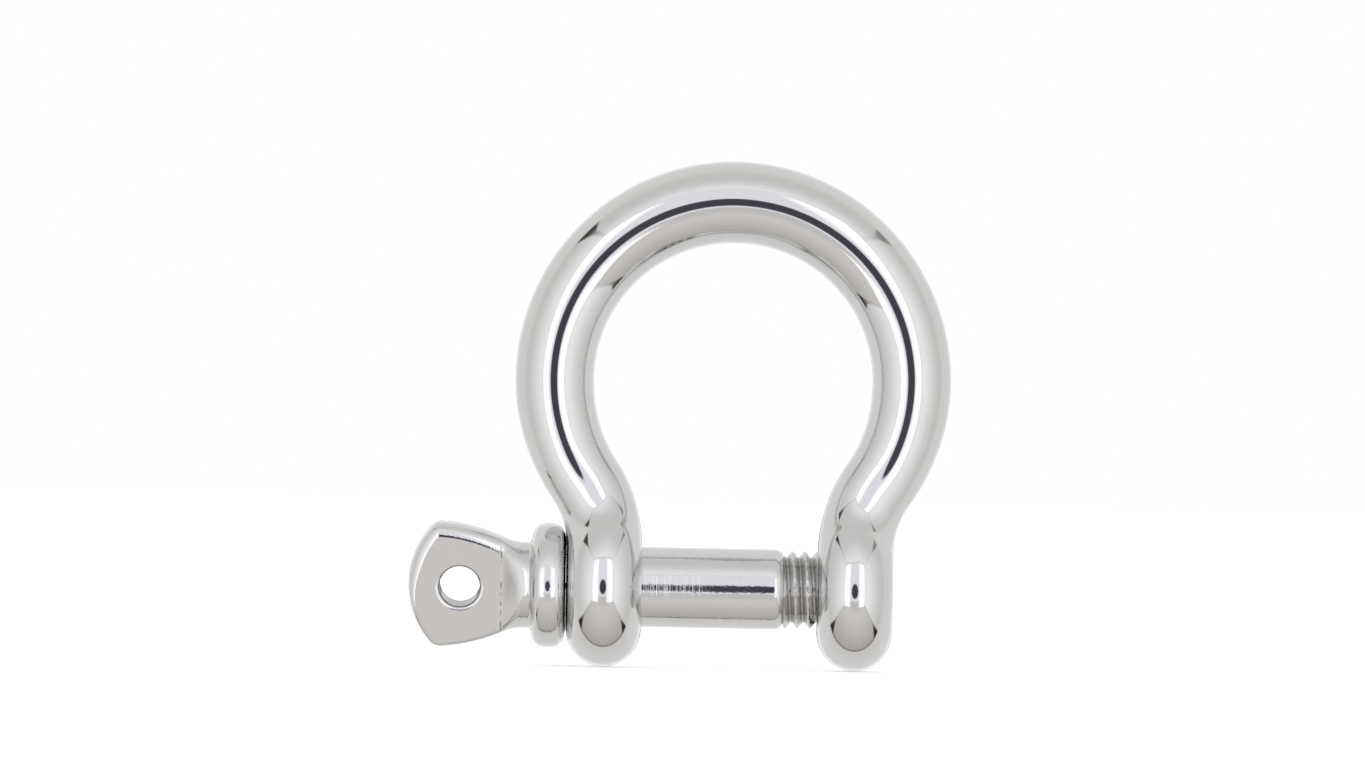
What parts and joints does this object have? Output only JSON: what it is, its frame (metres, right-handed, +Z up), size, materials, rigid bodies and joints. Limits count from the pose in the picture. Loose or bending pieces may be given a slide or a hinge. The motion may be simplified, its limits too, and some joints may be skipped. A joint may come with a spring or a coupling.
{
  "type": "bow shackle",
  "caption": "Small polished steel bow shackle with a collared screw pin that has a flat head and lanyard hole, for joining lines, blocks and sails.",
  "frame": {"origin": "on the pin's axis, midway between the two ears", "axes": "+X along the pin from its head towards the tapped ear, +Z up to the crown of the bow, Y across the bow"},
  "size_m": [0.0268, 0.008, 0.0253],
  "materials": {
    "bow_steel": "polished",
    "pin_steel": "polished"
  },
  "bodies": {
    "bow": {"bow": "bow_steel"},
    "pin": {"screw_pin": "pin_steel"}
  },
  "joints": [
    {"name": "pin_withdraw", "type": "slide", "parent": "bow", "child": "pin", "axis": [-1, 0, 0], "range_m": [0, 0.018]}
  ]
}
